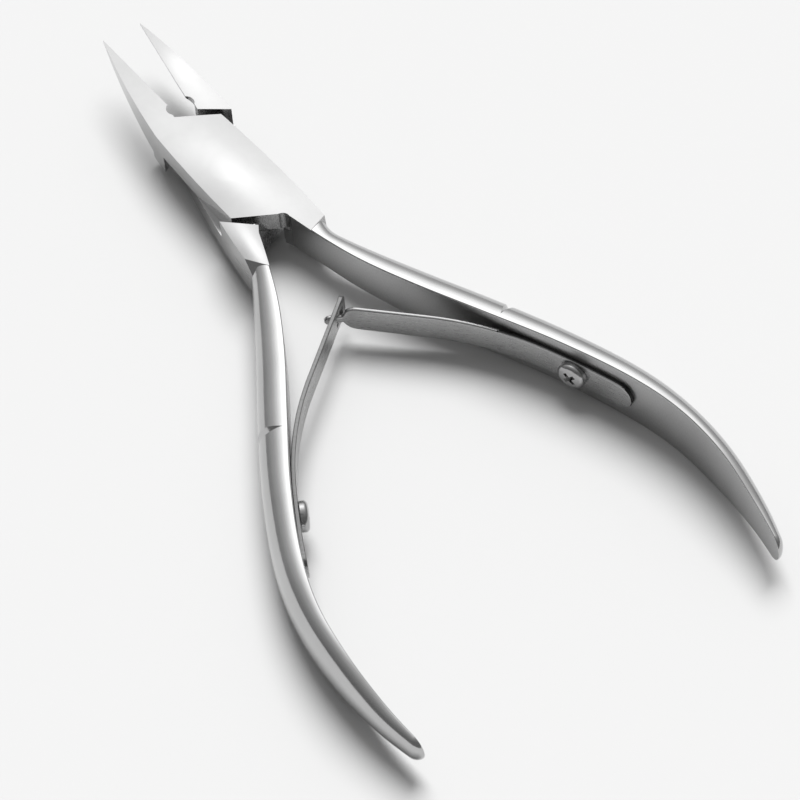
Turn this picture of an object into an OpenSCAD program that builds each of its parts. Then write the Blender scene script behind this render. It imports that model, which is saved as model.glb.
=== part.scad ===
// Cuticle nipper with a lap joint and two interlocking leaf springs.
// It lies on its side with the jaws open: +X runs to the jaw tips and +Z is the pivot axis.
// The origin is under the middle of its outline, on the surface that it lies on.

/* [Pivot and jaws] */
// Angle between the two cutting edges when the springs hold the jaws open, in degrees
open_angle = 11; // [9:0.5:12]
// Distance from the pivot to the jaw tips
jaw_reach = 30.2; // [28:0.2:32]
// Length of each cutting edge, from the tip to the relief notch
edge_length = 15.8; // [14:0.2:17]
// Radius of the relief notch behind each cutting edge
notch_radius = 1.25; // [1:0.05:1.4]
// Slope of the ground underside of the jaws (depth per width)
jaw_grind = 1.1; // [0.9:0.05:1.3]
// Radius of the curved outer flank of the jaws
flank_radius = 140; // [120:5:170]

/* [Box joint] */
// Half thickness of the flat box joint
box_half = 3; // [2.8:0.05:3.1]
// Half width of the box joint beside the pivot
box_half_width = 5.1; // [5:0.05:5.2]
// Radius of the long sides of the box joint
box_side_radius = 220; // [180:5:260]
// Radius of the rivet shank
rivet_radius = 2; // [1.8:0.1:2.2]
// Radius of the rivet's flush countersunk ends
rivet_head_radius = 2.8; // [2.6:0.1:3]
// Depth of the countersunk ends
rivet_head_depth = 0.8; // [0.6:0.1:0.9]

/* [Leaf springs] */
// Thickness of the spring steel
leaf_thick = 0.6; // [0.5:0.05:0.7]
// Width of the springs where they are screwed down
leaf_width = 4.4; // [4.2:0.1:4.8]
// Width of the spring arms beside the crossing
arm_width = 4.1; // [3.8:0.1:4.2]
// Angle of the arms to the nipper's long axis, measured on each half, in degrees
arm_angle = 42.5; // [41:0.5:43]
// Radius of the bend that lifts each spring off its handle
bend_radius = 45; // [40:1:48]
// Height of the neck that passes through the slot
neck_height = 1.2; // [1:0.1:1.4]
// Height of the slot
slot_height = 1.8; // [1.7:0.1:2]
// Length of the slot
slot_length = 2.6; // [2.4:0.1:3]

/* [Screws] */
// Diameter of the screw heads
screw_head = 4; // [3.8:0.1:4.2]
// Height of the screw heads
screw_head_height = 1.2; // [1:0.1:1.3]
// Radius of the M2 screw shanks
screw_radius = 1; // [0.9:0.05:1.1]
// Length of thread in the handle
screw_depth = 2.2; // [1.8:0.1:2.4]

/* [Hidden] */
$fn = 96;

lap_gap = 0.04;      // between the two lapped plates
edge_gap = 0.03;     // from each cutting edge to the middle plane when shut
fit_gap = 0.04;      // running clearance of the rivet in the lower half
seat_gap = 0.02;     // between pieces that are fastened together
skin = 0.01;         // the root covers the handle's inner face by this much
far = 60;            // larger than anything that is cut

// Handle stations, measured on a shut half from the pivot:
// [x of the inner face, y of the inner face, depth, half height]
STATIONS = [
    [-11, 0.95, 2, 2.85], [-18, 2.28, 2.6, 2.95], [-25, 3.98, 3.5, 3.2], [-33, 6.8, 3.95, 3.6],
    [-42, 10.6, 4.05, 3.85], [-52, 14.8, 3.8, 4.05], [-62, 18.1, 3.5, 4.3], [-70, 19.6, 2.9, 4.3],
    [-78, 19.5, 2.4, 4.05], [-86, 18.2, 1.85, 2.8], [-92.4, 16.6, 1.05, 2.05]];
end_round = 1.6;     // length over which the handle's end is rounded off
span_steps = 5;      // rings in each span between two stations
arc_steps = 22;      // facets around the rounded side of the handle
round_power = 0.88;  // under 1 makes the rounded side a little fuller than an ellipse
square_power = 0.3;  // nearly square section where the upper handle swells into its root
SWELL = [-19, 3.7, 0.75, 0.07];  // where that starts, its length, added depth and half height

groove_x = -44;      // cross groove on the back of each handle
groove_depth = 0.55;
screw_x = -54.6;     // spring screws
foot_end_x = -63;    // rounded end of the springs
lift_x = -50.6;      // where the springs lift off the handles
knuckle_gap = 0.05;  // around the knuckle that stands in for the bend
clear_angle = 0.1;   // of the bend between the knuckle's middle and the arm, in degrees
foot_overlap = 1;    // of the bend that belongs to the foot's curve, in degrees
arm_bare = 2;        // full-width start of each arm
screw_fit = 0.1;     // around the screws in the springs
hole_past = 1.3;     // drilled further than the screw reaches, measured from 1 mm outside the face
cross_half = 1.1;    // half length, width and depth of the cross recess
cross_width = 0.5;
cross_depth = 0.75;
head_round = 0.7;    // rounded rim of the screw heads

// Corners of the joint on a shut half
side_middle = -5;    // widest place of the joint's long sides
lap_edge = -0.56;    // inner edge of the joint beside the jaws
land = 0.3;          // upright part of each cutting edge
notch_depth = 0.8;   // of the relief notch into the jaw
notch_lead = 0.2;    // the lap's inner edge starts this far in front of the notch's middle
tip_width = 0.05;    // blunt end of each jaw
flank_x = 10.5;      // start of the jaw's curved flank
shoulder = [[11.5, -0.45], [9.2, -side_y(9.2)]];             // wall behind the jaw
plate_front = [[11.9, lap_edge], [9.15, 3.5], [8.3, side_y(8.3)]];
crotch = [-11.72, 0.98];                                     // where the rear wall meets the handle
rear_side = [-7.9, -side_y(-7.9)];                           // outer end of the rear wall
root_front = [[-11.5, 0.75], [-8.5, side_y(-8.5)]];          // wall in front of the full-height root
root_x = -20.5;      // the root runs this far into the handle
channel = [-12.3, 0.15];                                     // round relief in the crotch
channel_radius = 1.05;
// Across each half's top, outer and inner end of the line where the root begins to slope
ROOT_LINES = [[[-15.3, 4.9], [-16.2, 2.2]], [[-15.8, 4.95], [-18.4, 2.5]]];
ROOT_SLOPES = [8, 42.8];       // steepness of that slope on each half, in degrees from upright

// Smooth curve through the stations: value at span i, fraction t
function station(i) = STATIONS[min(max(i, 0), len(STATIONS) - 1)];
function smooth(i, t) =
    let (a = station(i - 1), b = station(i), c = station(i + 1), d = station(i + 2))
    0.5 * (2 * b + (c - a) * t + (2 * a - 5 * b + 4 * c - d) * t * t
        + (3 * b - a - 3 * c + d) * t * t * t);
// evenly spaced rings, then closer ones where the end is rounded off
RINGS = concat(
    [for (i = [0 : len(STATIONS) - 2], k = [0 : span_steps - 1]) smooth(i, k / span_steps)],
    [for (k = [0.35, 0.6, 0.8, 0.92, 0.98]) smooth(len(STATIONS) - 2, 0.8 + 0.2 * k)]);
tip_x = STATIONS[len(STATIONS) - 1][0];
function end_scale(x) = let (t = (tip_x + end_round - x) / end_round)
    t <= 0 ? 1 : sqrt(max(1 - t * t, 0.0));

// Height of the inner face at x, its slope and its outward normal
function inner(x, i = 0) = (i >= len(STATIONS) - 2 || STATIONS[i + 1][0] <= x) ?
    inner_in_span(x, i, 0, 1, 0) : inner(x, i + 1);
function inner_in_span(x, i, lo, hi, n) = let (mid = (lo + hi) / 2, p = smooth(i, mid))
    n > 24 ? p : p[0] > x ? inner_in_span(x, i, mid, hi, n + 1) : inner_in_span(x, i, lo, mid, n + 1);
function inner_y(x) = inner(x)[1];
function face_angle(x) = atan(inner_y(x - 0.5) - inner_y(x + 0.5));
function face_normal(x) = [sin(face_angle(x)), cos(face_angle(x))];

// Rings of D-shaped sections swept along the inner face. square is 1 where they swell into
// the corner of the root and 0 where they stay round.
function ring(j, square) =
    let (p = RINGS[j], q0 = RINGS[max(j - 1, 0)], q1 = RINGS[min(j + 1, len(RINGS) - 1)],
        t = [q1[0] - q0[0], q1[1] - q0[1]] / norm([q1[0] - q0[0], q1[1] - q0[1]]),
        n = [t[1], -t[0]], s = end_scale(p[0]),
        swell = square * pow(min(max((p[0] - SWELL[0]) / SWELL[1], 0), 1), 2),
        power = round_power + (square_power - round_power) * swell)
    [for (i = [0 : arc_steps]) let (a = -90 + 180 * i / arc_steps,
        u = (p[2] + SWELL[2] * swell) * s * pow(abs(cos(a)), power),
        z = (p[3] + SWELL[3] * swell) * s * sign(sin(a)) * pow(abs(sin(a)), power))
        [p[0] + u * n[0], p[1] + u * n[1], z]];
function handle_points(square) = [for (j = [0 : len(RINGS) - 1]) each ring(j, square)];

// The frame's origin: under the middle of the outline, at the height of the thickest section
half_open = open_angle / 2;
OUTLINE = handle_points(0);
handle_end = min([for (p = OUTLINE) p[0] * cos(half_open) + p[1] * sin(half_open)]);
pivot_x = -(handle_end + jaw_reach * cos(half_open)) / 2;
rest_z = max([for (p = OUTLINE) p[2]]);

// Middle line of a spring: along the handle, round the bend, then straight to the crossing
leaf_offset = seat_gap + leaf_thick / 2;
lift_angle = face_angle(lift_x);
lift = [lift_x, inner_y(lift_x)] - leaf_offset * face_normal(lift_x);
bend_center = lift - bend_radius * face_normal(lift_x);
function on_bend(a, r = bend_radius) = bend_center + r * [sin(a), cos(a)];
knuckle_angle = (lift_angle + arm_angle) / 2;
knuckle = on_bend(knuckle_angle);
arm_dir = [cos(arm_angle), -sin(arm_angle)];
arm_start = on_bend(arm_angle);
// The arms cross in the middle plane of the open nipper
function open_y(p) = p[1] * cos(half_open) - p[0] * sin(half_open);
crossing = arm_start + open_y(arm_start) / sin(arm_angle + half_open) * arm_dir;
arm_length = (crossing - knuckle) * arm_dir;

function arc(c, r, a0, a1, n = 16) = [for (i = [0 : n]) let (a = a0 + (a1 - a0) * i / n)
    [c[0] + r * cos(a), c[1] + r * sin(a)]];
function side_y(x) = box_half_width - box_side_radius
    + sqrt(pow(box_side_radius, 2) - pow(x - side_middle, 2));

// Puts a half, given shut with its handle at +y, at its place in the open nipper.
// side is 1 for the half whose handle lies at +y and -1 for the other.
module placed(side) {
    translate([pivot_x, 0, rest_z]) rotate([0, 0, -side * half_open])
        mirror([0, side < 0 ? 1 : 0, 0]) children();
}

// A flat slab between two heights
module slab(low, high) {
    translate([0, 0, low]) linear_extrude(height = high - low) children();
}

// Points of an arc of radius r that bulges to the left of the way from p to q
function bulge(p, q, r, n) =
    let (way = (q - p) / norm(q - p), rise = sqrt(r * r - pow(norm(q - p) / 2, 2)),
        c = (p + q) / 2 + rise * [way[1], -way[0]], from = p - c, to = q - c)
    arc(c, r, atan2(from[1], from[0]), atan2(to[1], to[0]), n);
function mirrored(list) = [for (p = list) [p[0], -p[1]]];

// Plan of the jaw in front of its shoulder: edge, notch, shoulder and flank
module jaw_plan() {
    notch_y = notch_radius - notch_depth;
    notch_x = jaw_reach - edge_length - sqrt(pow(notch_radius, 2) - pow(notch_y + edge_gap, 2));
    tip = [jaw_reach, edge_gap + tip_width];
    difference() {
        polygon(concat([[jaw_reach, -edge_gap], [notch_x - notch_radius, -edge_gap]], shoulder,
            mirrored(bulge([flank_x, side_y(flank_x)], tip, flank_radius, 10))));
        translate([notch_x, notch_y]) circle(r = notch_radius);
        translate([notch_x + notch_lead - far, lap_edge]) square([far, far]);
    }
}

// Plan of the lapped plate with its slanted front and rear ends
module plate_plan() {
    steps = 8;
    front_x = plate_front[2][0];
    sides = [for (i = [1 : steps]) let (x = front_x + (root_x - front_x) * i / steps) [x, side_y(x)]];
    back = [for (i = [0 : steps]) let (x = rear_side[0] + (shoulder[1][0] - rear_side[0]) * i / steps)
        [x, -side_y(x)]];
    polygon(concat(plate_front, sides, root_inside(), [crotch], back, [[shoulder[0][0], lap_edge]]));
}

// Inner side of the root, just outside the handle's inner face
function root_inside() = [for (x = [root_x : 1.95 : -12.7]) [x, inner_y(x) - skin]];

module root_plan() {
    polygon(concat(root_front, [for (x = [-12, root_x]) [x, side_y(x)]], root_inside()));
}

// What is ground away behind a line across the top, down to the handle's round back
module root_end(line, slope) {
    way = line[1] - line[0];
    translate([line[0][0], line[0][1], box_half]) rotate([0, 0, atan2(way[1], way[0])])
        rotate([-slope, 0, 0]) translate([-far, -far, -far]) cube([2 * far, far, 2 * far]);
}

// Handle: the rings joined into one closed surface
module handle(square) {
    m = arc_steps;
    w = m + 1;
    last = (len(RINGS) - 1) * w;
    polyhedron(handle_points(square), concat(
        [[for (i = [0 : m]) m - i]],
        [for (j = [0 : len(RINGS) - 2], i = [0 : m]) let (a = j * w + i, b = j * w + (i + 1) % w)
            each [[a, b, a + w], [b, b + w, a + w]]],
        [[for (i = [0 : m]) last + i]]), convexity = 8);
}

// V-shaped oval ring that cuts the cross groove on the back of the handle. Its axis lies inside
// the inner face and it is taller than deep, so the groove runs out before the edges of that face.
module groove_cutter() {
    inset = 0.3;
    stretch = 1.06;
    rim = 2;
    rim_half = 2.4;
    n = face_normal(groove_x);
    r = inner(groove_x)[2] + inset - groove_depth;
    translate([groove_x - inset * n[0], inner_y(groove_x) - inset * n[1], 0])
        rotate([0, 90, -face_angle(groove_x)]) scale([stretch, 1, 1])
            rotate_extrude() polygon([[r, 0], [r + rim, rim_half], [r + rim, -rim_half]]);
}

// Wedge ground away under the cutting edge, leaving a thin land at the edge
module jaw_wedge() {
    start_x = 12.6;
    top = box_half - land;
    reach = 12;
    translate([start_x, 0, 0]) rotate([90, 0, 90]) linear_extrude(height = far)
        polygon([[reach, top + reach * jaw_grind], [-reach, top - reach * jaw_grind],
            [-reach, -far], [reach, -far]]);
}

// Places children at the screw, with +z along the outward normal of the inner face
module at_screw() {
    translate([screw_x, inner_y(screw_x), 0]) rotate([0, 0, -face_angle(screw_x)]) rotate([-90, 0, 0])
        children();
}

// One forged half, shut. lap is 1 for the upper plate and -1 for the lower plate.
module half(lap) {
    low = lap > 0 ? lap_gap / 2 : -box_half;
    high = lap > 0 ? box_half : -lap_gap / 2;
    line = ROOT_LINES[lap > 0 ? 0 : 1];
    slope = ROOT_SLOPES[lap > 0 ? 0 : 1];
    difference() {
        union() {
            difference() {
                slab(-box_half, box_half) jaw_plan();
                jaw_wedge();
            }
            difference() {
                union() {
                    slab(low, high) plate_plan();
                    slab(-box_half, box_half) root_plan();
                }
                root_end(line, slope);
                mirror([0, 0, 1]) root_end(line, slope);
            }
            handle(lap > 0 ? 1 : 0);
        }
        groove_cutter();
        translate([channel[0], channel[1], lap > 0 ? 0 : -far]) cylinder(h = far, r = channel_radius);
        at_screw() translate([0, 0, -1]) cylinder(h = screw_depth + hole_past, r = screw_radius + seat_gap);
    }
}

module rivet_bore(gap, face) {
    translate([0, 0, -far / 2]) cylinder(h = far, r = rivet_radius + gap);
    translate([0, 0, face > 0 ? box_half - rivet_head_depth : -box_half - 0.01])
        cylinder(h = rivet_head_depth + 0.01,
            r1 = (face > 0 ? rivet_radius : rivet_head_radius) + gap,
            r2 = (face > 0 ? rivet_head_radius : rivet_radius) + gap);
}

module upper_half() {
    color("silver") placed(-1) difference() {
        half(1);
        rivet_bore(0, 1);
    }
}

module lower_half() {
    color("lightgray") placed(1) difference() {
        half(-1);
        rivet_bore(fit_gap, -1);
    }
}

module pivot_rivet() {
    height = 2 * box_half;
    color("darkgray") translate([pivot_x, 0, rest_z - box_half]) rotate_extrude()
        polygon([[0, 0], [rivet_head_radius, 0], [rivet_radius, rivet_head_depth],
            [rivet_radius, height - rivet_head_depth], [rivet_head_radius, height], [0, height]]);
}

// Points along one face of a spring's screwed-down part; side is 1 for the face on the handle
function foot_face(side) = let (steps = 12, off = side * leaf_thick / 2) concat(
    [for (i = [0 : steps]) let (x = foot_end_x + (lift_x - foot_end_x) * i / steps)
        [x, inner_y(x)] + (off - leaf_offset) * face_normal(x)],
    arc_on_bend(bend_radius + off, lift_angle + foot_overlap, knuckle_angle, 6));
function arc_on_bend(r, a0, a1, n) = [for (i = [0 : n]) on_bend(a0 + (a1 - a0) * i / n, r)];
function reversed(list) = [for (i = [len(list) - 1 : -1 : 0]) list[i]];

module foot_plan() {
    difference() {
        polygon(concat(foot_face(1), reversed(foot_face(-1))));
        translate(knuckle) circle(r = leaf_thick / 2 + knuckle_gap, $fn = 48);
    }
}

// Extrudes a side view (x along the leaf, z up) right through the leaf
module through() {
    rotate([90, 0, 0]) translate([0, 0, -far]) linear_extrude(height = 2 * far) children();
}

module spring_foot() {
    end_r = leaf_width / 2;
    difference() {
        intersection() {
            slab(-end_r, end_r) foot_plan();
            through() {
                translate([foot_end_x + end_r, 0]) circle(r = end_r);
                translate([foot_end_x + end_r, -end_r]) square([far, leaf_width]);
            }
        }
        at_screw() translate([0, 0, -far]) cylinder(h = 2 * far, r = screw_radius + screw_fit);
    }
}

// Moves children to the knuckle, with +x along the straight part of the arm
module along_arm() {
    translate([knuckle[0], knuckle[1], 0]) rotate([0, 0, -arm_angle]) children();
}

// Points along one face of an arm: the rest of the bend, the straight leaf, then its last part,
// which is turned away by tip_turn and reaches past the crossing
function arm_face(side, reach, tip_turn) =
    let (off = side * leaf_thick / 2, neck = 1.4, corner = crossing - neck * arm_dir,
        a = arm_angle + tip_turn, mid = arm_angle + tip_turn / 2)
    concat(arc_on_bend(bend_radius + off, knuckle_angle + clear_angle, arm_angle, 6),
        [corner + off / cos(tip_turn / 2) * [sin(mid), cos(mid)],
            corner + (neck + reach) * [cos(a), -sin(a)] + off * [sin(a), cos(a)]]);

// Full-width arm with its round knuckle
module arm_blank(reach, tip_turn) {
    root = leaf_width / 2;
    slab(-root, root) polygon(concat(arm_face(1, reach, tip_turn), reversed(arm_face(-1, reach, tip_turn))));
    translate([knuckle[0], knuckle[1], -root]) cylinder(h = leaf_width, r = leaf_thick / 2 - 0.01, $fn = 48);
}

module tongue_spring_arm_shape() {
    neck = neck_height / 2;
    root = leaf_width / 2;
    wide = arm_width / 2;
    knob_x = arm_length + 0.7;
    knob_r = 0.75;
    shoulder_x = arm_length - 2.1;
    neck_x = arm_length - 0.9;
    intersection() {
        arm_blank(1.8, 20);
        along_arm() through() {
            polygon([[-1, -root], [arm_bare, -root], [shoulder_x, -wide], [neck_x, -neck], [knob_x, -neck],
                [knob_x, neck], [neck_x, neck], [shoulder_x, wide], [arm_bare, root], [-1, root]]);
            translate([knob_x, 0]) circle(r = knob_r, $fn = 48);
        }
    }
}

module slotted_spring_arm_shape() {
    root = leaf_width / 2;
    wide = arm_width / 2 - 0.2;
    past = 2.3;
    tip = arm_length + past;
    corner = 0.8;
    intersection() {
        arm_blank(past, 0);
        along_arm() through() difference() {
            polygon([[-1, -root], [arm_bare, -root], [tip - corner, -wide], [tip, corner - wide],
                [tip, wide - corner], [tip - corner, wide], [arm_bare, root], [-1, root]]);
            translate([arm_length - slot_length / 2, -slot_height / 2]) square([slot_length, slot_height]);
        }
    }
}

// Pan-head screw with a cross recess, its head towards -z
module spring_screw() {
    r = screw_head / 2;
    under = -seat_gap - leaf_thick - seat_gap;
    h = screw_head_height;
    difference() {
        rotate_extrude() polygon(concat(
            [[0, under - h]],
            arc([r - head_round, under - h + head_round], head_round, -90, 0, 8),
            [[r, under], [screw_radius, under], [screw_radius, screw_depth], [0, screw_depth]]));
        for (a = [0, 90]) rotate([0, 0, a + 45])
            translate([-cross_half, -cross_width / 2, under - h - 1])
                cube([2 * cross_half, cross_width, 1 + cross_depth]);
    }
}

module tongue_spring_foot() { color("gainsboro") placed(-1) spring_foot(); }
module tongue_spring_arm() { color("whitesmoke") placed(-1) tongue_spring_arm_shape(); }
module tongue_spring_screw() { color("dimgray") placed(-1) at_screw() spring_screw(); }
module slotted_spring_foot() { color("gainsboro") placed(1) spring_foot(); }
module slotted_spring_arm() { color("whitesmoke") placed(1) slotted_spring_arm_shape(); }
module slotted_spring_screw() { color("dimgray") placed(1) at_screw() spring_screw(); }

upper_half();
lower_half();
pivot_rivet();
tongue_spring_foot();
tongue_spring_arm();
tongue_spring_screw();
slotted_spring_foot();
slotted_spring_arm();
slotted_spring_screw();
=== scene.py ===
"""Cuticle nipper: polished forged halves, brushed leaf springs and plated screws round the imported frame."""

import math

import bmesh
import bpy
import numpy as np
from mathutils import Matrix, Vector


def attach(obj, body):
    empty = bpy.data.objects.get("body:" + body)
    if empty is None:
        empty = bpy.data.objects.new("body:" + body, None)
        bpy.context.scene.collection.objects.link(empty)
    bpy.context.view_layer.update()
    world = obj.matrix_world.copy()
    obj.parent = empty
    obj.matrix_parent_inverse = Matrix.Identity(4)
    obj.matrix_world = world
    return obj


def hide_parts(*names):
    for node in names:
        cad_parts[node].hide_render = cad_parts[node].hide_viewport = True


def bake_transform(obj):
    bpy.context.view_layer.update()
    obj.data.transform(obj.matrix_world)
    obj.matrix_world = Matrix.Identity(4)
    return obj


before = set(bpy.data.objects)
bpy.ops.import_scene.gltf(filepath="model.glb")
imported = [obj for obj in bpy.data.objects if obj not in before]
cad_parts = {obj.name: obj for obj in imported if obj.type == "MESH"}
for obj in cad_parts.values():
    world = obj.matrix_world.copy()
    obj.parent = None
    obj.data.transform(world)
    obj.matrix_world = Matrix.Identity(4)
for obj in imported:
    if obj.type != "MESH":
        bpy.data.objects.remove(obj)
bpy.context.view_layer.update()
scene = bpy.context.scene
MM = 0.001

# ---------------------------------------------------------------- the design, in millimetres
# Everything is drawn on a shut half, measured from the pivot, with its handle at +y.
HALF_OPEN = 5.5  # degrees that each half is turned away from shut
PIVOT_X, REST_Z = 30.1647, 4.33
THROUGH = 9  # far enough to cut through everything

# joint: half its height, the gap between the laps, and the rivet's hole with its countersink
BOX_HALF, LAP_GAP, JOINT_END = 3.0, 0.04, -19
SIDE_WIDTH, SIDE_RADIUS, SIDE_MIDDLE = 5.1, 220.0, -5.0
SHOULDER_FRONT, SHOULDER_BACK, SHOULDER_Y = 11.5, 9.2, -0.45
LAP_EDGE = -0.56
RIVET_R, SINK_R, SINK_DEPTH, RIVET_FIT = 2, 2.8, 0.8, 0.04
CHANNEL_X, CHANNEL_Y, CHANNEL_R = -12.3, 0.15, 1.05

# jaws: the cutting edge, the relief notch behind it, the flank and the ground underside
JAW_REACH, EDGE_LENGTH, EDGE_GAP, TIP_WIDTH = 30.2, 15.8, 0.03, 0.05
NOTCH_R, NOTCH_Y, NOTCH_LEAD = 1.25, 0.45, 0.2
FLANK_X, FLANK_RADIUS = 10.5, 140
GRIND_X, GRIND_DROP, GRIND_SLOPE = 12.6, 0.3, 1.1

# roots: where each one (1 upper lap, -1 lower lap) starts to slope down, and how steeply
ROOT_X, SKIN = -20.5, 0.01
ROOT_LINES = {1: ((-15.3, 4.9), (-16.2, 2.2)), -1: ((-15.8, 4.95), (-18.4, 2.5))}
ROOT_SLOPES = {1: 8, -1: 42.8}

# handles: x, y of the inner face, depth and half height of the D-shaped section
STATIONS = np.array([
    [-11, 0.95, 2, 2.85], [-18, 2.28, 2.6, 2.95], [-25, 3.98, 3.5, 3.2], [-33, 6.8, 3.95, 3.6],
    [-42, 10.6, 4.05, 3.85], [-52, 14.8, 3.8, 4.05], [-62, 18.1, 3.5, 4.3], [-70, 19.6, 2.9, 4.3],
    [-78, 19.5, 2.4, 4.05], [-86, 18.2, 1.85, 2.8], [-92.4, 16.6, 1.05, 2.05]])
LAST = len(STATIONS) - 1
END_X, END_ROUND = STATIONS[LAST, 0], 1.6
ROUND_POWER, SQUARE_POWER = 0.88, 0.3
SWELL_RUN, SWELL_DEPTH, SWELL_HEIGHT = 3.7, 0.75, 0.07
EDGE_BREAK = 0.16
GROOVE_X, GROOVE_INSET, GROOVE_DEPTH, GROOVE_STRETCH = -44.0, 0.3, 0.55, 1.06

# leaf springs: thickness, gap under the foot, and half widths of foot, arms, neck and knob
LEAF, SEAT = 0.6, 0.02
FOOT_END_X, LIFT_X = -63.0, -50.6
ARM_ANGLE, BEND_RADIUS = 42.5, 45.0
FOOT_W, TONGUE_W, SLOTTED_W = 2.2, 2.05, 1.85
NECK_W, KNOB_R = 0.6, 0.75
TIP_BEND, TIP_ANGLE, TIP_LENGTH = 1.4, 20, 3.15
TIP_SHOULDER, TIP_SHOULDER_RUN = 2.6, 1.9
SLOT_LONG, SLOT_WIDE, SLOT_PAST, SLOT_END_R = 1.3, 0.9, 2.3, 0.7
TAPER_START, TAPER_REST = 15, 20
TONGUE_EDGE, SLOTTED_EDGE = 0.22, 0.13

# screws
SCREW_X = -54.6
HEAD_R, HEAD_HEIGHT, HEAD_ROUND, HEAD_CHAMFER = 2.0, 1.2, 0.62, 0.08
THREAD_R, THREAD_END, THREAD_CHAMFER = 1.0, 2.2, 0.1
THREAD_HOLE_R, THREAD_HOLE_END, CLEAR_HOLE_R = 1.02, 2.4, 1.1
CROSS_HALF, CROSS_WIDTH, CROSS_DEPTH = 1.3, 0.3, 0.75

# how far apart the two springs and the two screws lie in their textures, so that no two look the same
STREAKS_APART, CLOUDS_APART = 30, 12


def sind(a):
    return math.sin(math.radians(a))


def cosd(a):
    return math.cos(math.radians(a))


def station(u):
    """Catmull-Rom through the stations; u counts stations from 0 to LAST."""
    i = min(max(int(math.floor(u)), 0), LAST - 1)
    t = u - i
    a, b, c, d = (STATIONS[min(max(k, 0), LAST)] for k in (i - 1, i, i + 1, i + 2))
    return 0.5 * (2 * b + (c - a) * t + (2 * a - 5 * b + 4 * c - d) * t * t
                  + (3 * b - a - 3 * c + d) * t ** 3)


FINE_U = np.linspace(0, LAST, 1201)
FINE = np.array([station(u) for u in FINE_U])
FINE_S = np.concatenate([[0], np.cumsum(np.hypot(*np.diff(FINE[:, :2], axis=0).T))])


def u_at(x):
    return float(np.interp(-x, -FINE[:, 0], FINE_U))


def inner_y(x):
    return float(np.interp(-x, -FINE[:, 0], FINE[:, 1]))


def face_angle(x):
    return math.degrees(math.atan(inner_y(x - 0.5) - inner_y(x + 0.5)))


def face_normal(x):
    a = face_angle(x)
    return np.array([sind(a), cosd(a)])


def side_y(x):
    return SIDE_WIDTH - SIDE_RADIUS + math.sqrt(SIDE_RADIUS * SIDE_RADIUS - (x - SIDE_MIDDLE) ** 2)


def arc(cx, cy, r, a0, a1, n):
    angles = [a0 + (a1 - a0) * i / n for i in range(n + 1)]
    return [(cx + r * cosd(a), cy + r * sind(a)) for a in angles]


def disc(cx, cy, r, steps=48):
    return arc(cx, cy, r, 0, 360 - 360 / steps, steps - 1)


def rectangle(x0, x1, y0, y1):
    return [(x0, y0), (x1, y0), (x1, y1), (x0, y1)]


def bulge(p, q, r, n):
    """Points of an arc of radius r that bulges to the left of the way from p to q."""
    p, q = np.array(p), np.array(q)
    length = np.linalg.norm(q - p)
    way = (q - p) / length
    c = (p + q) / 2 + math.sqrt(r * r - length ** 2 / 4) * np.array([way[1], -way[0]])
    a0, a1 = (math.degrees(math.atan2(*(e - c)[::-1])) for e in (p, q))
    return arc(c[0], c[1], r, a0, a1, n)


# ---------------------------------------------------------------- mesh helpers
def make(name, verts, faces):
    mesh = bpy.data.meshes.new(name)
    mesh.from_pydata([tuple(v) for v in verts], [], faces)
    bm = bmesh.new()
    bm.from_mesh(mesh)
    bmesh.ops.remove_doubles(bm, verts=bm.verts, dist=1e-5)
    bmesh.ops.recalc_face_normals(bm, faces=bm.faces)
    bm.to_mesh(mesh)
    bm.free()
    obj = bpy.data.objects.new(name, mesh)
    scene.collection.objects.link(obj)
    return obj


def swept(rings, name, closed_ends=True):
    """Rings of the same number of points joined into one closed surface."""
    m = len(rings[0])
    verts = [p for ring in rings for p in ring]
    faces = [[j * m + i, j * m + (i + 1) % m, (j + 1) * m + (i + 1) % m, (j + 1) * m + i]
             for j in range(len(rings) - 1) for i in range(m)]
    if closed_ends:
        faces += [list(range(m))[::-1], list(range(len(verts) - m, len(verts)))]
    return make(name, verts, faces)


def prism(outline, low, high, name="prism"):
    """Outline drawn in x and y, extruded between two heights."""
    n = len(outline)
    verts = [(x, y, low) for x, y in outline] + [(x, y, high) for x, y in outline]
    sides = [[i, (i + 1) % n, n + (i + 1) % n, n + i] for i in range(n)]
    return make(name, verts, [list(range(n))[::-1], list(range(n, 2 * n))] + sides)


def lathe(profile, steps=96, name="lathe"):
    """Profile of (radius, z) turned about z. Its two ends lie on the axis."""
    verts = [(0, 0, profile[0][1])]
    inner = profile[1:-1]
    for r, z in inner:
        verts += [(r * cosd(360 * k / steps), r * sind(360 * k / steps), z) for k in range(steps)]
    verts.append((0, 0, profile[-1][1]))
    top = len(verts) - 1
    faces = [[0, 1 + (k + 1) % steps, 1 + k] for k in range(steps)]
    for j in range(len(inner) - 1):
        a, b = 1 + j * steps, 1 + (j + 1) * steps
        faces += [[a + k, a + (k + 1) % steps, b + (k + 1) % steps, b + k] for k in range(steps)]
    a = 1 + (len(inner) - 1) * steps
    return make(name, verts, faces + [[a + k, a + (k + 1) % steps, top] for k in range(steps)])


def pin(r, low, high):
    return lathe([(0, low), (r, low), (r, high), (0, high)], 48)


def baked(obj):
    """Replaces the object's mesh by what its modifiers make of it."""
    bpy.context.view_layer.update()
    dg = bpy.context.evaluated_depsgraph_get()
    mesh = bpy.data.meshes.new_from_object(obj.evaluated_get(dg))
    obj.modifiers.clear()
    obj.data = mesh


def combine(obj, other, how):
    mod = obj.modifiers.new("b", "BOOLEAN")
    mod.operation, mod.object, mod.solver = how, other, "EXACT"
    baked(obj)
    bpy.data.objects.remove(other)


def break_edges(obj, width, angle):
    mod = obj.modifiers.new("bevel", "BEVEL")
    mod.width, mod.segments, mod.limit_method, mod.angle_limit = width, 2, "ANGLE", math.radians(angle)
    baked(obj)


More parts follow.
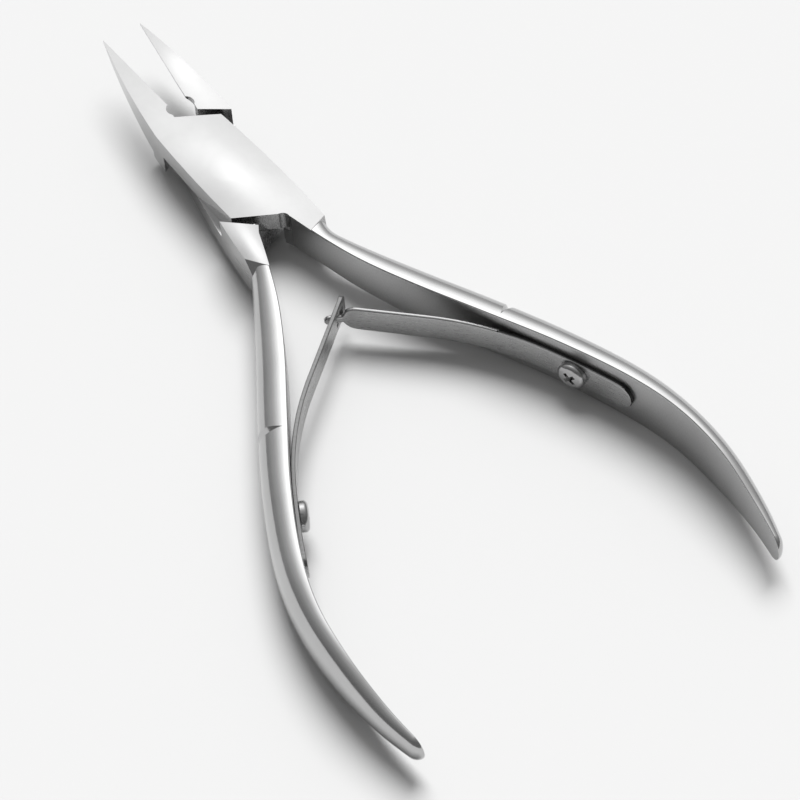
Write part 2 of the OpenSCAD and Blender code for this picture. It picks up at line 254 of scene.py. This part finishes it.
def tidy_faces(obj):
    """Joins the flat pieces that the cuts left in the joint, so that its edges bevel evenly."""
    bm = bmesh.new()
    bm.from_mesh(obj.data)
    bmesh.ops.remove_doubles(bm, verts=bm.verts, dist=0.002)
    edges = [e for e in bm.edges if all(f.calc_center_median().x > JOINT_END for f in e.link_faces)]
    bm.verts.index_update()
    verts = sorted({v for e in edges for v in e.verts}, key=lambda v: v.index)
    bmesh.ops.dissolve_limit(bm, angle_limit=math.radians(0.1), verts=verts, edges=edges)
    bm.to_mesh(obj.data)
    bm.free()


def turned(obj, matrix):
    obj.data.transform(matrix)
    if matrix.determinant() < 0:
        obj.data.flip_normals()
    obj.data.update()
    return obj


def placement(side):
    """From a shut half in millimetres to its place in the open nipper in metres."""
    move = Matrix.Translation((PIVOT_X * MM, 0, REST_Z * MM))
    turn = Matrix.Rotation(math.radians(-side * HALF_OPEN), 4, "Z")
    flip = Matrix.Diagonal((1, side, 1, 1))
    return move @ turn @ flip @ Matrix.Scale(MM, 4)


def smooth(obj, large=1.0, crease=50):
    """Smooth shading in which faces over large mm2 stay exactly flat and lead their small neighbours."""
    mesh = obj.data
    mesh.shade_smooth()
    count = len(mesh.polygons)
    normals, areas, totals = np.zeros(3 * count), np.zeros(count), np.zeros(count, np.int32)
    mesh.polygons.foreach_get("normal", normals)
    mesh.polygons.foreach_get("area", areas)
    areas /= MM * MM
    mesh.polygons.foreach_get("loop_total", totals)
    corners = np.zeros(len(mesh.loops), np.int32)
    mesh.loops.foreach_get("vertex_index", corners)
    face = np.repeat(np.arange(count), totals)
    own = normals.reshape(-1, 3)[face]
    led = np.zeros((len(mesh.vertices), 3))
    np.add.at(led, corners, own * areas[face, None] ** 2)
    led = led[corners]
    led /= np.maximum(np.linalg.norm(led, axis=1), 1e-12)[:, None]
    flat = (areas[face] > large) | ((led * own).sum(1) < cosd(crease))
    mesh.normals_split_custom_set(np.where(flat[:, None], own, led).tolist())


def handle_space(points):
    """(along, out, up) of points on a shut half: along the inner face, away from it, and up."""
    xy, batch, every, reach = points[:, :2], 4000, 2, 4
    best = np.zeros(len(points), int)
    for k in range(0, len(points), batch):
        part = xy[k:k + batch]
        far = [part[:, None, i] - FINE[None, ::every, i] for i in (0, 1)]
        best[k:k + batch] = np.argmin(far[0] ** 2 + far[1] ** 2, axis=1) * every
    near = FINE[best, :2]
    ahead = FINE[np.minimum(best + reach, len(FINE) - 1), :2] - FINE[np.maximum(best - reach, 0), :2]
    ahead /= np.linalg.norm(ahead, axis=1)[:, None]
    normal = np.stack([ahead[:, 1], -ahead[:, 0]], axis=1)
    off = xy - near
    along = FINE_S[best] + (off * ahead).sum(1)
    return np.stack([along, (off * normal).sum(1), points[:, 2]], axis=1)


def vertex_points(obj):
    co = np.zeros(len(obj.data.vertices) * 3)
    obj.data.vertices.foreach_get("co", co)
    return co.reshape(-1, 3)


def set_grain(obj, coordinates, name="grain"):
    """Coordinates in millimetres that a brushed or polished surface takes its streaks from."""
    attribute = obj.data.attributes.new(name, "FLOAT_VECTOR", "POINT")
    attribute.data.foreach_set("vector", np.asarray(coordinates, np.float32).ravel())


# ---------------------------------------------------------------- materials
def shader_node(tree, kind, **inputs):
    n = tree.nodes.new(kind)
    for key, value in inputs.items():
        n.inputs[key.replace("_", " ")].default_value = value
    return n


def grey(v):
    return (v, v, v)


CROWN_MIDDLE = np.array([-2.0, 0.0, 0.0])  # of the upper lap, in millimetres
CROWN_STRETCH, CROWN_REACH = (0.85, 1.5), 4.0


def metal(name, dark, light, rough, streak, stretch, fine=9.0, bump=0.03, crown=0.0, attribute="grain",
          place="joint", middle=CROWN_MIDDLE, unit=1.0):
    """Steel whose colour and roughness follow streaks along the surface's own grain.
    rough is (lowest, highest) roughness; stretch shrinks the streaks along, out and up.
    A crown makes a flat face very slightly domed about its middle, as lapping leaves it."""
    m = bpy.data.materials.new(name)
    m.use_nodes = True
    t = m.node_tree
    t.nodes.clear()
    out = t.nodes.new("ShaderNodeOutputMaterial")
    shader = shader_node(t, "ShaderNodeBsdfPrincipled", Metallic=1.0)
    t.links.new(shader.outputs[0], out.inputs[0])
    where = t.nodes.new("ShaderNodeAttribute")
    where.attribute_name = attribute
    scaled = shader_node(t, "ShaderNodeMapping", Scale=stretch)
    t.links.new(where.outputs["Vector"], scaled.inputs["Vector"])
    streaks = shader_node(t, "ShaderNodeTexNoise", Scale=fine, Detail=5.0, Roughness=0.62)
    t.links.new(scaled.outputs[0], streaks.inputs["Vector"])
    cloud = shader_node(t, "ShaderNodeTexNoise", Scale=0.16, Detail=3.0)
    t.links.new(where.outputs["Vector"], cloud.inputs["Vector"])
    mix = t.nodes.new("ShaderNodeMix")
    mix.data_type = "FLOAT"
    mix.inputs[0].default_value = streak
    t.links.new(cloud.outputs[0], mix.inputs[2])
    t.links.new(streaks.outputs[0], mix.inputs[3])
    low, high = 0.3, 0.7
    ramp = t.nodes.new("ShaderNodeValToRGB")
    for element, at, value in zip(ramp.color_ramp.elements, (low, high), (dark, light)):
        element.position, element.color = at, (*grey(value), 1)
    t.links.new(mix.outputs[0], ramp.inputs[0])
    t.links.new(ramp.outputs[0], shader.inputs["Base Color"])
    spread = shader_node(t, "ShaderNodeMapRange", From_Min=low, From_Max=high,
                         To_Min=rough[0], To_Max=rough[1])
    t.links.new(mix.outputs[0], spread.inputs["Value"])
    t.links.new(spread.outputs[0], shader.inputs["Roughness"])
    relief = shader_node(t, "ShaderNodeBump", Strength=bump, Distance=0.0001)
    t.links.new(streaks.outputs[0], relief.inputs["Height"])
    if crown:
        spot = t.nodes.new("ShaderNodeAttribute")
        spot.attribute_name = place
        from_middle = shader_node(t, "ShaderNodeVectorMath")
        from_middle.inputs[1].default_value = [-v for v in middle]
        t.links.new(spot.outputs["Vector"], from_middle.inputs[0])
        flatter = shader_node(t, "ShaderNodeVectorMath")
        flatter.operation = "MULTIPLY_ADD"
        flatter.inputs[1].default_value = (*(v * unit for v in CROWN_STRETCH), 0.0)
        flatter.inputs[2].default_value = (0.0, 0.0, CROWN_REACH)
        t.links.new(from_middle.outputs[0], flatter.inputs[0])
        reach = shader_node(t, "ShaderNodeVectorMath")
        reach.operation = "LENGTH"
        t.links.new(flatter.outputs[0], reach.inputs[0])
        drop = shader_node(t, "ShaderNodeMath")
        drop.operation = "MULTIPLY"
        drop.inputs[1].default_value = -crown
        t.links.new(reach.outputs["Value"], drop.inputs[0])
        under = shader_node(t, "ShaderNodeBump", Strength=1.0, Distance=0.001)
        t.links.new(drop.outputs[0], under.inputs["Height"])
        t.links.new(under.outputs[0], relief.inputs["Normal"])
    t.links.new(relief.outputs[0], shader.inputs["Normal"])
    return m


POLISHED = metal("polished_steel", 0.46, 0.53, (0.12, 0.19), 0.35, (0.12, 1, 1), 7.0, 0.02)
LAPPED = metal("lapped_steel", 0.41, 0.46, (0.12, 0.17), 0.35, (0.12, 1, 1), 7.0, 0.02, crown=0.115)
SATIN = metal("satin_steel", 0.44, 0.57, (0.30, 0.42), 0.75, (0.9, 1, 0.25), 9.0, 0.12)
GROUND = metal("ground_steel", 0.34, 0.48, (0.2, 0.34), 0.8, (1, 1, 0.15), 9.0, 0.15)
SPRING = metal("spring_steel", 0.37, 0.48, (0.22, 0.34), 0.8, (0.06, 1, 1.4), 9.0, 0.08)
SHEARED = metal("sheared_edge", 0.17, 0.28, (0.30, 0.45), 0.8, (0.3, 1, 1.4), 9.0, 0.1)
# near-black painted shade for the edges of the tongue's foot, where the gap under the handle lies in shade
PAINTED_SHADE = metal("painted_shade_edge", 0.03, 0.07, (0.35, 0.5), 0.8, (0.3, 1, 1.4), 9.0, 0.1)
PLATED = metal("plated_screw", 0.36, 0.50, (0.14, 0.26), 0.4, (1, 1, 1), 5.0, 0.03)


# ---------------------------------------------------------------- forged halves
def jaw(name):
    """Jaw in front of its shoulder: flat top, curved flank, relief notch and ground underside."""
    notch_x = JAW_REACH - EDGE_LENGTH - math.sqrt(NOTCH_R ** 2 - (NOTCH_Y + EDGE_GAP) ** 2)
    flank = bulge((FLANK_X, side_y(FLANK_X)), (JAW_REACH, EDGE_GAP + TIP_WIDTH), FLANK_RADIUS, 30)
    outline = [(JAW_REACH, -EDGE_GAP), (notch_x - NOTCH_R, -EDGE_GAP),
               (SHOULDER_FRONT, SHOULDER_Y), (SHOULDER_BACK, -side_y(SHOULDER_BACK))]
    blank = prism(outline + [(x, -y) for x, y in flank], -BOX_HALF, BOX_HALF, name)
    combine(blank, prism(disc(notch_x, NOTCH_Y, NOTCH_R), -THROUGH, THROUGH), "DIFFERENCE")
    behind = rectangle(notch_x - THROUGH, notch_x + NOTCH_LEAD, LAP_EDGE, THROUGH)
    combine(blank, prism(behind, -THROUGH, THROUGH), "DIFFERENCE")
    top, depth, low, far = BOX_HALF - GRIND_DROP, 12.0, -30, 60
    section = [(depth, top + depth * GRIND_SLOPE), (-depth, top - depth * GRIND_SLOPE),
               (-depth, low), (depth, low)]
    # the section is drawn in y and z and runs along x
    along_x = Matrix(((0, 0, 1, 0), (1, 0, 0, 0), (0, 1, 0, 0), (0, 0, 0, 1)))
    combine(blank, turned(prism(section, GRIND_X, far), along_x), "DIFFERENCE")
    return blank


def root_inside():
    return [(x, inner_y(x) - SKIN) for x in (ROOT_X, -18.5, -16.5, -14.5, -12.7)]


def plate_outline():
    """Lapped plate: slanted front, the half's own side, root, crotch behind, and the far side."""
    front = [(11.9, LAP_EDGE), (9.15, 3.5)]
    own_side = [(x, side_y(x)) for x in np.linspace(8.3, ROOT_X, 25)]
    crotch = [(-11.72, 0.98)]
    far_side = [(x, -side_y(x)) for x in np.linspace(-7.9, SHOULDER_BACK, 17)]
    return front + own_side + root_inside() + crotch + far_side + [(SHOULDER_FRONT, LAP_EDGE)]


def root_end(line, slope, side):
    """What is ground away behind a line across the top (side 1) or the underside (side -1)."""
    (x0, y0), (x1, y1) = line
    far = 12
    block = prism(rectangle(-far, far, -far, 0), -far, far)
    turn = Matrix.Rotation(math.atan2(y1 - y0, x1 - x0), 4, "Z")
    tilt = Matrix.Rotation(math.radians(-slope), 4, "X")
    mirror = Matrix.Diagonal((1, 1, side, 1))
    return turned(block, mirror @ Matrix.Translation((x0, y0, BOX_HALF)) @ (turn @ tilt))


def joint_block(lap):
    """Lapped plate and full-height root, which slopes down to the round back of the handle."""
    low, high = (LAP_GAP / 2, BOX_HALF) if lap > 0 else (-BOX_HALF, -LAP_GAP / 2)
    block = prism(plate_outline(), low, high)
    root = [(-11.5, 0.75)] + [(x, side_y(x)) for x in (-8.5, -12, ROOT_X)] + root_inside()
    combine(block, prism(root, -BOX_HALF, BOX_HALF), "UNION")
    for side in (1, -1):
        combine(block, root_end(ROOT_LINES[lap], ROOT_SLOPES[lap], side), "DIFFERENCE")
    return block


def handle(square):
    """D-shaped sections swept along the inner face, with the two edges of that face just broken.
    square is 1 where they swell into the corner of the root and 0 where they stay round."""
    us = list(np.linspace(0, u_at(END_X + END_ROUND), 130))
    us += [u_at(END_X + END_ROUND * (1 - sind(a))) for a in np.linspace(5, 85, 17)]
    rings, step, thinnest = [], 0.02, 0.004
    for u in us:
        p, q = station(u), station(min(u + step, LAST)) - station(max(u - step, 0))
        t = q[:2] / np.linalg.norm(q[:2])
        n = np.array([t[1], -t[0]])
        k = (END_X + END_ROUND - p[0]) / END_ROUND
        scale = 1 if k <= 0 else math.sqrt(max(1 - k * k, thinnest))
        swell = square * min(max((p[0] - JOINT_END) / SWELL_RUN, 0), 1) ** 2
        power = ROUND_POWER + (SQUARE_POWER - ROUND_POWER) * swell
        depth, high = (p[2] + SWELL_DEPTH * swell) * scale, (p[3] + SWELL_HEIGHT * swell) * scale
        e = min(EDGE_BREAK, 0.25 * depth)
        a0 = math.degrees(math.acos((e / depth) ** (1 / power)))
        back = [(depth * cosd(a) ** power, high * math.copysign(abs(sind(a)) ** power, a))
                for a in np.linspace(-a0, a0, 45)]
        low_edge = [(e - e * sind(a), -high + e - e * cosd(a)) for a in (90, 60, 30)]
        high_edge = [(e - e * sind(a), high - e + e * cosd(a)) for a in (30, 60, 90)]
        flat = [(0, z) for z in np.linspace(high - e, e - high, 9)[1:-1]]
        section = low_edge + back + high_edge + flat
        rings.append([(p[0] + o * n[0], p[1] + o * n[1], z) for o, z in section])
    return swept(rings, "handle")


def groove_cutter():
    """V-shaped oval ring whose axis lies inside the inner face, so the groove runs out before it."""
    n = face_normal(GROOVE_X)
    r = float(station(u_at(GROOVE_X))[2]) + GROOVE_INSET - GROOVE_DEPTH
    steps, rise, spread, rings = 160, 2, 2.4, []
    for k in range(steps):
        c, s = GROOVE_STRETCH * cosd(360 * k / steps), sind(360 * k / steps)
        rings.append([(q * c, q * s, z) for q, z in ((r, 0), (r + rise, spread), (r + rise, -spread))])
    rings.append(rings[0])
    cutter = swept(rings, "groove", closed_ends=False)
    centre = Matrix.Translation((GROOVE_X - GROOVE_INSET * n[0], inner_y(GROOVE_X) - GROOVE_INSET * n[1], 0))
    turn = Matrix.Rotation(math.radians(-face_angle(GROOVE_X)), 4, "Z")
    return turned(cutter, centre @ (turn @ Matrix.Rotation(math.radians(90), 4, "Y")))


def rivet_bore(lap):
    """Hole and countersink; the rivet is tight in the upper lap and free in the lower one."""
    fit = 0.0 if lap > 0 else RIVET_FIT
    hole, sink = RIVET_R + fit, SINK_R + fit
    near, far = -lap * THROUGH, lap * THROUGH
    start, top = lap * (BOX_HALF - SINK_DEPTH), lap * BOX_HALF
    return lathe([(0, near), (hole, near), (hole, start), (sink, top), (sink, far), (0, far)])


def at_screw():
    return (Matrix.Translation((SCREW_X, inner_y(SCREW_X), 0))
            @ Matrix.Rotation(math.radians(-face_angle(SCREW_X)), 4, "Z")
            @ Matrix.Rotation(math.radians(-90), 4, "X"))


def lapped_spots(points, lap):
    """Each flat top is lapped about a middle of its own: the lower half has one on its root and one
    on its jaw, each given as (faces, middle, how much tighter it is)."""
    spot = points.copy()
    if lap < 0:
        for where, middle, tighter in ((points[:, 0] < -8, (-15.2, 2.8, 0), (1.2, 1.7, 1)),
                                       (points[:, 0] > 8, (20, -1.7, 0), 1.1)):
            spot[where] = (points[where] - middle) * tighter + CROWN_MIDDLE
    return spot


def finishes(mesh):
    """Material of each face: 0 polished, 1 satin inner face, 2 ground walls, 3 lapped flat tops."""
    centres = np.array([p.center[:] for p in mesh.polygons])
    normals = np.array([p.normal[:] for p in mesh.polygons])
    along, out, _ = handle_space(centres).T
    x, upright, level = centres[:, 0], abs(normals[:, 2]) < 0.2, abs(normals[:, 2]) > 0.998
    satin = (out < 0.03) & (along > 2) & upright
    walls = (x > -17) & (x < 12.5) & upright & (abs(normals[:, 0]) > 0.4)
    tops = (x > JOINT_END) & level & (abs(centres[:, 2]) > BOX_HALF - 0.02)
    return np.select([satin, walls, tops], [1, 2, 3], 0).astype(np.int32)


def forged_half(name, lap, side, body, node):
    """lap is 1 for the upper plate and -1 for the lower one; side is where the handle lies."""
    half = jaw(name)
    combine(half, joint_block(lap), "UNION")
    combine(half, handle(1 if lap > 0 else 0), "UNION")
    combine(half, groove_cutter(), "DIFFERENCE")
    low, high = (0, THROUGH) if lap > 0 else (-THROUGH, 0)
    combine(half, prism(disc(CHANNEL_X, CHANNEL_Y, CHANNEL_R), low, high), "DIFFERENCE")
    combine(half, rivet_bore(lap), "DIFFERENCE")
    combine(half, turned(pin(THREAD_HOLE_R, -1, THREAD_HOLE_END), at_screw()), "DIFFERENCE")
    tidy_faces(half)
    break_edges(half, width=0.07, angle=38)
    points = vertex_points(half)
    set_grain(half, handle_space(points))
    set_grain(half, lapped_spots(points, lap), "joint")
    for m in (POLISHED, SATIN, GROUND, LAPPED):
        half.data.materials.append(m)
    half.data.polygons.foreach_set("material_index", finishes(half.data))
    smooth(turned(half, placement(side)))
    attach(half, body)
    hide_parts(node)


# ---------------------------------------------------------------- leaf springs
def leaf_path():
    """Middle line of a spring from the end of its foot to where the arm becomes straight."""
    offset = SEAT + LEAF / 2
    foot = [np.array([x, inner_y(x)]) - offset * face_normal(x) for x in np.linspace(FOOT_END_X, LIFT_X, 40)]
    centre = foot[-1] - BEND_RADIUS * face_normal(LIFT_X)
    bend = [centre + BEND_RADIUS * np.array([sind(a), cosd(a)])
            for a in np.linspace(face_angle(LIFT_X), ARM_ANGLE, 30)]
    return foot + bend[1:], bend[len(bend) // 2]


def crossing_of(start):
    """Where the straight arm that begins at start meets the middle plane of the open nipper."""
    direction = np.array([cosd(ARM_ANGLE), -sind(ARM_ANGLE)])
    open_y = start[1] * cosd(HALF_OPEN) - start[0] * sind(HALF_OPEN)
    return start + open_y / sind(ARM_ANGLE + HALF_OPEN) * direction, direction


def strip_width(s, length, arm):
    """Half width at s from the round end of the foot, narrowing to that of the arm."""
    least = 0.05
    foot = math.sqrt(max(FOOT_W ** 2 - max(FOOT_W - s, 0) ** 2, least ** 2))
    narrowing = min(max((s - TAPER_START) / (length - TAPER_REST), 0), 1)
    return min(foot, FOOT_W + (arm - FOOT_W) * narrowing)


def tongue_width(s, length):
    """The tongue ends in a shoulder, a neck that passes through the slot and a round knob."""
    w, left, least = strip_width(s, length, TONGUE_W), length - s, 0.06
    knob = math.sqrt(max(KNOB_R ** 2 - (left - KNOB_R) ** 2, 0)) if left < 2 * KNOB_R else 0
    t = min(max((left - TIP_SHOULDER) / TIP_SHOULDER_RUN, 0), 1)
    shoulder = NECK_W + (w - NECK_W) * math.sqrt(1 - (1 - t) ** 2)
    return max(shoulder if left > TIP_SHOULDER else (NECK_W if left > KNOB_R else 0), knob, least)


def slotted_width(s, length):
    w, left, r = strip_width(s, length, SLOTTED_W), length - s, SLOT_END_R
    return min(w, SLOTTED_W - r + math.sqrt(max(r ** 2 - max(r - left, 0) ** 2, 0)))


def leaf(name, points, half_width, edge):
    """Strip of spring steel along points, half_width(s, length) wide each way, with rounded edges."""
    points, step, most_round = np.array(points), 0.22, 0.6
    s = np.concatenate([[0], np.cumsum(np.hypot(*np.diff(points, axis=0).T))])
    at = np.linspace(0, s[-1], max(2, int(s[-1] / step)))
    path = np.stack([np.interp(at, s, points[:, 0]), np.interp(at, s, points[:, 1])], axis=1)
    ahead = np.gradient(path, axis=0)
    ahead /= np.linalg.norm(ahead, axis=1)[:, None]
    normal = np.stack([-ahead[:, 1], ahead[:, 0]], axis=1)
    h, rings = LEAF / 2, []
    for p, n, s in zip(path, normal, at):
        w = half_width(s, at[-1])
        e = min(edge, w * most_round)
        corner = [(h - e + e * sind(a), w - e + e * cosd(a)) for a in (0, 30, 60, 90)]
        levels = list(np.linspace(w - e, e - w, 11)[1:-1])
        ring = corner + [(h, z) for z in levels] + [(x, -z) for x, z in corner[::-1]]
        ring += [(-x, -z) for x, z in corner] + [(-h, z) for z in levels[::-1]]
        ring += [(-x, z) for x, z in corner[::-1]]
        rings.append([(p[0] + x * n[0], p[1] + x * n[1], z) for x, z in ring])
    return swept(rings, name), path, at


def spring(name, side, tongue, nodes):
    bent, knuckle = leaf_path()
    crossing, direction = crossing_of(bent[-1])
    if tongue:
        corner = crossing - TIP_BEND * direction
        tip = np.array([cosd(ARM_ANGLE + TIP_ANGLE), -sind(ARM_ANGLE + TIP_ANGLE)])
        run = list(np.linspace(bent[-1], corner, 40)[1:])
        run += [corner + tip * t for t in np.linspace(0.05, TIP_LENGTH, 16)]
        strip, path, at = leaf(name, bent + run, tongue_width, TONGUE_EDGE)
    else:
        run = list(np.linspace(bent[-1], crossing + SLOT_PAST * direction, 50)[1:])
        strip, path, at = leaf(name, bent + run, slotted_width, SLOTTED_EDGE)
        slot = prism(rectangle(-SLOT_LONG, SLOT_LONG, -SLOT_WIDE, SLOT_WIDE), -3, 3)
        # drawn along the arm and across it, cut through the thickness
        turn = Matrix.Rotation(math.radians(-ARM_ANGLE), 4, "Z") @ Matrix.Rotation(math.radians(-90), 4, "X")
        turned(slot, Matrix.Translation((crossing[0], crossing[1], 0)) @ turn)
        combine(strip, slot, "DIFFERENCE")
    combine(strip, turned(pin(CLEAR_HOLE_R, -3, 1), at_screw()), "DIFFERENCE")
    points = vertex_points(strip)
    near = np.array([np.argmin(((path - p[:2]) ** 2).sum(1)) for p in points])
    grain = np.stack([at[near], np.zeros(len(points)), points[:, 2]], axis=1)
    set_grain(strip, grain + [STREAKS_APART * side, 0, 0])
    # the slotted strip's edges are left as sheared; the tongue's are bright, but along its foot they are
    # painted near black as painted shade of the shaded gap between the foot and the handle's inner face
    faces = strip.data.polygons
    if tongue:
        across, arm_x = face_normal(LIFT_X), LIFT_X + 6
        sheared_and_painted_shade = [abs(np.dot(p.normal[:2], across)) < 0.7 and p.center.x < arm_x for p in faces]
    else:
        sheared_and_painted_shade = [abs(p.normal.z) > 0.6 for p in faces]
    for m in (SPRING, PAINTED_SHADE if tongue else SHEARED):
        strip.data.materials.append(m)
    faces.foreach_set("material_index", np.array(sheared_and_painted_shade, np.int32))
    matrix = placement(side)
    smooth(turned(strip, matrix))
    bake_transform(strip)
    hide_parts(*nodes)


def cross_arm(top, low):
    """One arm of the tapered cross recess, along x."""
    outline = rectangle(-CROSS_HALF, CROSS_HALF, -CROSS_WIDTH, CROSS_WIDTH)
    taper_long, taper_wide = 0.45, 0.7
    verts = [(x, y, top) for x, y in outline] + [(x * taper_long, y * taper_wide, low) for x, y in outline]
    sides = [[i, i + 4, (i + 1) % 4 + 4, (i + 1) % 4] for i in range(4)]
    return make("cut", verts, [[0, 1, 2, 3], [7, 6, 5, 4]] + sides)


def screw(name, side, body, node):
    """Pan-head screw with a tapered cross recess."""
    under = -2 * SEAT - LEAF
    top = under - HEAD_HEIGHT
    profile = [(0, top), (0.5, top + 0.01), (1.0, top + 0.05)]
    profile += [(HEAD_R - HEAD_ROUND + HEAD_ROUND * sind(a), top + 0.1 + 0.55 * (1 - cosd(a)))
                for a in np.linspace(0, 90, 10)]
    profile += [(HEAD_R, under - HEAD_CHAMFER), (HEAD_R - HEAD_CHAMFER, under), (THREAD_R, under),
                (THREAD_R, THREAD_END - THREAD_CHAMFER), (THREAD_R - THREAD_CHAMFER, THREAD_END),
                (0, THREAD_END)]
    pan_head = lathe(profile, 96, name)
    for a in (45, 135):
        arm = turned(cross_arm(top - 0.5, top + CROSS_DEPTH), Matrix.Rotation(math.radians(a), 4, "Z"))
        combine(pan_head, arm, "DIFFERENCE")
    break_edges(pan_head, width=0.03, angle=40)
    set_grain(pan_head, vertex_points(pan_head) + [0, 0, CLOUDS_APART * side])
    pan_head.data.materials.append(PLATED)
    smooth(turned(pan_head, placement(side) @ at_screw()))
    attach(pan_head, body)
    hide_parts(node)


# ---------------------------------------------------------------- the nipper
forged_half("forged_half_upper", 1, -1, "upper_body", "upper_half")
forged_half("forged_half_lower", -1, 1, "lower_body", "lower_half")
spring("leaf_spring_tongue", -1, True,
       ("tongue_spring_foot", "tongue_spring_arm"))
spring("leaf_spring_slotted", 1, False,
       ("slotted_spring_foot", "slotted_spring_arm"))
screw("spring_screw_tongue", -1, "upper_body", "tongue_spring_screw")
screw("spring_screw_slotted", 1, "lower_body", "slotted_spring_screw")

# the rivet is the CAD node itself, polished flush with the joint
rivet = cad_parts["pivot_rivet"]
corners = np.array(rivet.bound_box)
pivot = (corners.min(axis=0) + corners.max(axis=0)) / 2
RIVET = metal("rivet_steel", 0.41, 0.46, (0.12, 0.17), 0.35, (1000, 1000, 1000), 7.0, 0.0, crown=0.115,
              attribute="position", place="position", middle=pivot * [1, 1, 0] + CROWN_MIDDLE * MM, unit=1000)
rivet.data.materials.clear()
rivet.data.materials.append(RIVET)

# ---------------------------------------------------------------- floor, light and camera
floor = make("floor", [(x, y, 0) for x, y in rectangle(-2, 2, -2, 2)], [[0, 1, 2, 3]])
FLOOR = bpy.data.materials.new("floor_paper")
FLOOR.use_nodes = True
paper = FLOOR.node_tree.nodes["Principled BSDF"]
paper.inputs["Roughness"].default_value = 0.9
paper.inputs["Base Color"].default_value = (0.5, 0.5, 0.5, 1)
paper.inputs["Specular IOR Level"].default_value = 0.2
floor.data.materials.append(FLOOR)

world = bpy.data.worlds.new("studio")
scene.world = world
world.use_nodes = True
wt = world.node_tree
wt.nodes.clear()
w_out = wt.nodes.new("ShaderNodeOutputWorld")
w_back = wt.nodes.new("ShaderNodeBackground")
wt.links.new(w_back.outputs[0], w_out.inputs[0])
w_dir = wt.nodes.new("ShaderNodeTexCoord")


def dome(direction, stops):
    """Grey light that depends on the angle to one direction: stops are (cosine, brightness)."""
    dot = wt.nodes.new("ShaderNodeVectorMath")
    dot.operation = "DOT_PRODUCT"
    wt.links.new(w_dir.outputs["Generated"], dot.inputs[0])
    dot.inputs[1].default_value = Vector(direction).normalized()
    ramp = wt.nodes.new("ShaderNodeValToRGB")
    wt.links.new(dot.outputs["Value"], ramp.inputs[0])
    e = ramp.color_ramp.elements
    while len(e) > 1:
        e.remove(e[-1])
    e[0].position, e[0].color = stops[0][0], (*grey(stops[0][1]), 1)
    for at, v in stops[1:]:
        e.new(at).color = (*grey(v), 1)
    return ramp


# one large softbox across from the camera, with a brighter middle; the rest of the room is dim
BOX_LIGHT = dome((0.528, -0.285, 0.65),
                 [(0.0, 0.10), (0.3, 0.15), (0.55, 0.20), (0.70, 0.27), (0.80, 0.32),
                  (0.87, 0.42), (0.93, 0.62), (0.965, 0.86), (0.985, 0.96), (1.0, 0.98)])
HOT = dome((0.605, -0.272, 0.748), [(0.975, 0.0), (0.997, 0.28), (1.0, 0.30)])
total = wt.nodes.new("ShaderNodeVectorMath")
wt.links.new(BOX_LIGHT.outputs[0], total.inputs[0])
wt.links.new(HOT.outputs[0], total.inputs[1])
wt.links.new(total.outputs[0], w_back.inputs["Color"])
w_back.inputs["Strength"].default_value = 1.95

# the key light, for the floor only: the softbox above is what the steel mirrors
key_data = bpy.data.lights.new("key", "SUN")
key_data.energy, key_data.angle = 4.75, math.radians(38)
key = bpy.data.objects.new("key", key_data)
key.rotation_mode = "QUATERNION"
key.rotation_quaternion = Vector((0.434, -0.34, 0.83)).to_track_quat("Z", "Y")
key.visible_glossy = False
scene.collection.objects.link(key)

cam_data = bpy.data.cameras.new("camera")
cam = bpy.data.objects.new("camera", cam_data)
scene.collection.objects.link(cam)
scene.camera = cam
cam_data.sensor_width = 36
cam_data.lens = 135.04
cam_data.clip_start, cam_data.clip_end = 0.01, 10
eye = Vector((-218.188, 110.545, 307.926)) * MM
aim = Vector((-14.336, 0.445, 4.33)) * MM
view_way = (aim - eye).normalized()
cam.rotation_mode = "QUATERNION"
cam.location = eye
roll = Matrix.Rotation(math.radians(-4.183), 3, "Z")
cam.rotation_quaternion = (view_way.to_track_quat("-Z", "Y").to_matrix() @ roll).to_quaternion()

scene.view_settings.view_transform = "Standard"
scene.view_settings.look = "None"
